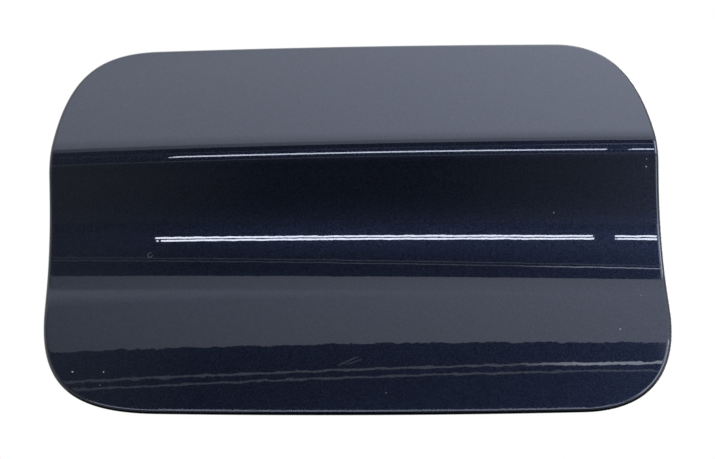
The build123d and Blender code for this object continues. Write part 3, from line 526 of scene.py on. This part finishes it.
# studio: pale floor, white surround, soft lamps, and cards that only the gloss sees
studio = {
    "surround": 1.0, "fill": 0.7, "white": "#ffffff",
    "floor": "#e6e6e6", "floorHeight": -0.5, "floorHalf": 15.0, "hazeFrom": 1.2, "hazeTo": 9.0, "hazeGlow": 0.45,
    "middle": (0.062, -0.058, 0.0), "cardColour": "#e8efff", "cardPower": 1.16,
    "strips": {  # place, width, depth, tilt in degrees, glow
        "rimFlag": ((0.1, -0.005, -0.105), 0.42, 0.11, 0, 0),
        "rimGlow": ((0.068, -0.14, -0.095), 0.272, 0.024, 90, 5),
        "cornerGlow": ((0.222, -0.14, -0.047), 0.034, 0.1, 90, 5),
    },
    # azimuth and elevation ranges in degrees, rise of elevation with azimuth, reach in m,
    # glow at low left, low right, top left, top right
    "cards": {
        "lowerFlag": ((-8, 8), (-89, -5), 0, 0.46, (0.05, 0.05, 0.05, 0.05)),
        "lowerFront": ((-50, -8), (-89, -5), 0, 0.46, (0.45, 0.05, 0.45, 0.05)),
        "lowerRear": ((8, 50), (-89, -5), 0, 0.46, (0.05, 0.4, 0.05, 0.4)),
        "rearGlow": ((19, 42), (-9, 25.6), 0.05, 4.9, (0.03, 14, 0.03, 14)),
        "ceilingBack": ((130, 230), (28, 88), 0, 5.2, (0.4, 0.4, 0.4, 0.4)),
        "upperFlag": ((-8, 42), (-9, 25.6), 0.05, 5.2, (0.03, 0.03, 0.03, 0.03)),
        "upperFront": ((-42, -8), (-9, 25.6), 0.05, 5.2, (0.6, 0.03, 0.6, 0.03)),
        "ceiling1": ((-40, 40), (25.6, 33), 0.05, 5.2, (0.25, 1.95, 0.25, 2.05)),
        "ceiling2": ((-40, 40), (33, 36), 0.05, 5.2, (0.25, 2.05, 1.3, 2.3)),
        "ceiling3": ((-40, 40), (36, 53), 0.05, 5.2, (1.3, 2.3, 1.35, 2.95)),
        "ceiling4": ((-40, 40), (53, 58), 0.05, 5.2, (1.35, 2.95, 1.7, 3.3)),
        "ceiling5": ((-40, 40), (58, 88), 0.05, 5.2, (1.7, 3.3, 0.4, 0.5)),
        "tubeLowLeft": ((-9.9, 14.35), (2.6, 3.5), -0.07, 5.0, (21, 21, 21, 21)),
        "tubeLowRight": ((15.5, 34), (2.6, 3.5), -0.07, 5.0, (21, 21, 21, 21)),
        "tubeTopLeft": ((-9.7, 14.4), (4.1, 5.0), -0.07, 5.0, (21, 21, 21, 21)),
        "tubeTopRight": ((15.6, 34), (4.1, 5.0), -0.07, 5.0, (21, 21, 21, 21)),
        "lineLow": ((-28, 40), (15.0, 15.4), 0.08, 0.48, (0.6, 0.9, 0.6, 0.9)),
        "lineHigh": ((-28, 16.5), (16.5, 16.95), 0.08, 0.48, (0.6, 1.0, 0.6, 1.0)),
        "lineHighEnd": ((16.5, 22.5), (16.5, 17.0), 0.08, 0.48, (1.0, 4.5, 1.0, 4.5)),
        "lineHighRear": ((22.5, 40), (16.5, 17.0), 0.08, 0.48, (4.5, 4.5, 4.5, 4.5)),
    },
}
world = bpy.data.worlds.new("studioSurround")
scene.world = world
world.use_nodes = True
tree = world.node_tree
tree.nodes.clear()
path = addNode(tree, "ShaderNodeLightPath").outputs
seen = addNode(tree, "ShaderNodeMath", {"operation": "MAXIMUM"},
               {0: path["Is Camera Ray"], 1: path["Is Glossy Ray"]})
seen = addNode(tree, "ShaderNodeMath", {"operation": "MAXIMUM"},
               {0: seen.outputs[0], 1: path["Is Transmission Ray"]})
level = addNode(tree, "ShaderNodeMapRange", {"To Min": studio["fill"], "To Max": studio["surround"]},
                {"Value": seen.outputs[0]})
sky = addNode(tree, "ShaderNodeBackground", {"Color": linearColour(studio["white"])},
              {"Strength": level.outputs["Result"]})
addNode(tree, "ShaderNodeOutputWorld", links={"Surface": sky.outputs["Background"]})

cardGlow = bpy.data.materials.new("cardGlow")  # light as bright as each card's own glow
cardGlow.use_nodes = True
tree = cardGlow.node_tree
tree.nodes.clear()
ownGlow = addNode(tree, "ShaderNodeAttribute", {"attribute_name": "glow"})
power = addNode(tree, "ShaderNodeMath", {"operation": "MULTIPLY", 1: studio["cardPower"]},
                {0: ownGlow.outputs["Fac"]})
light = addNode(tree, "ShaderNodeEmission", {"Color": linearColour(studio["cardColour"])},
                {"Strength": power.outputs["Value"]})
addNode(tree, "ShaderNodeOutputMaterial", links={"Surface": light.outputs["Emission"]})


def hangCard(card):
    # only glossy rays see it
    card.visible_camera = False
    card.visible_diffuse = False
    card.visible_shadow = False
    card.visible_transmission = False


def studioCard(name, azimuths, elevations, tilt, reach, corners):
    lowLeft, lowRight, topLeft, topRight = corners
    bm = bmesh.new()
    bmesh.ops.create_grid(bm, x_segments=24, y_segments=12, size=0.5)
    glows = bm.verts.layers.float.new("glow")
    for vert in bm.verts:
        u, v = vert.co.x + 0.5, vert.co.y + 0.5
        azimuth = radians(azimuths[0] + (azimuths[1] - azimuths[0]) * u)
        elevation = radians(elevations[0] + (elevations[1] - elevations[0]) * v) + azimuth * tilt
        across = cos(elevation) / abs(cos(azimuth))  # flat cards, level across the door
        way = Vector((sin(azimuth) * across, -cos(azimuth) * across, sin(elevation)))
        vert.co = Vector(studio["middle"]) + way * reach
        vert[glows] = (lowLeft * (1 - u) + lowRight * u) * (1 - v) + (topLeft * (1 - u) + topRight * u) * v
    hangCard(newPiece(name, bm, cardGlow))


for name, values in studio["cards"].items():
    studioCard(name, *values)

for name, (place, width, depth, tilt, glow) in studio["strips"].items():
    bm = bmesh.new()
    glows = bm.verts.layers.float.new("glow")
    turned = Matrix.Translation(place) @ Matrix.Rotation(radians(tilt), 4, "X")
    bmesh.ops.create_grid(bm, x_segments=1, y_segments=1, size=0.5,
                          matrix=turned @ Matrix.Diagonal((width, depth, 1, 1)))
    for vert in bm.verts:
        vert[glows] = glow
    hangCard(newPiece(name, bm, cardGlow))

bm = bmesh.new()
bmesh.ops.create_grid(bm, x_segments=1, y_segments=1, size=studio["floorHalf"],
                      matrix=Matrix.Translation((0, 0, studio["floorHeight"])))
# matt paper: pale, without any shine, and far away it fades into the white surround
floorMaterial, tree, shader, place = newMaterial("dullPaper", {
    "Base Color": linearColour(studio["floor"]), "Roughness": 0.9, "Specular IOR Level": 0.0,
    "Emission Color": linearColour(studio["white"]),
})
away = addNode(tree, "ShaderNodeVectorMath", {"operation": "LENGTH"}, {0: place})
haze = addNode(tree, "ShaderNodeMapRange", {
    "From Min": studio["hazeFrom"], "From Max": studio["hazeTo"], "To Max": studio["hazeGlow"],
}, {"Value": away.outputs["Value"]})
tree.links.new(haze.outputs["Result"], shader.inputs["Emission Strength"])
floor = newPiece("floor", bm, floorMaterial)

lamps = {  # place, aim, size in m, watts
    "overhead": ((0.1, 0.1, 1.6), (0.06, -0.05, 0.0), 1.6, 8.0),
    "backFill": ((0.5, 1.3, 0.7), (0.06, -0.03, 0.0), 0.9, 10.0),
}
for name, (place, aim, size, watts) in lamps.items():
    lamp = bpy.data.lights.new(name, "AREA")
    lamp.energy, lamp.size, lamp.shape = watts, size, "SQUARE"
    holder = bpy.data.objects.new(name, lamp)
    scene.collection.objects.link(holder)
    turned = (Vector(aim) - Vector(place)).to_track_quat("-Z", "Y").to_matrix().to_4x4()
    holder.matrix_world = Matrix.Translation(place) @ turned
    holder.visible_camera = False
print("camera and studio set")
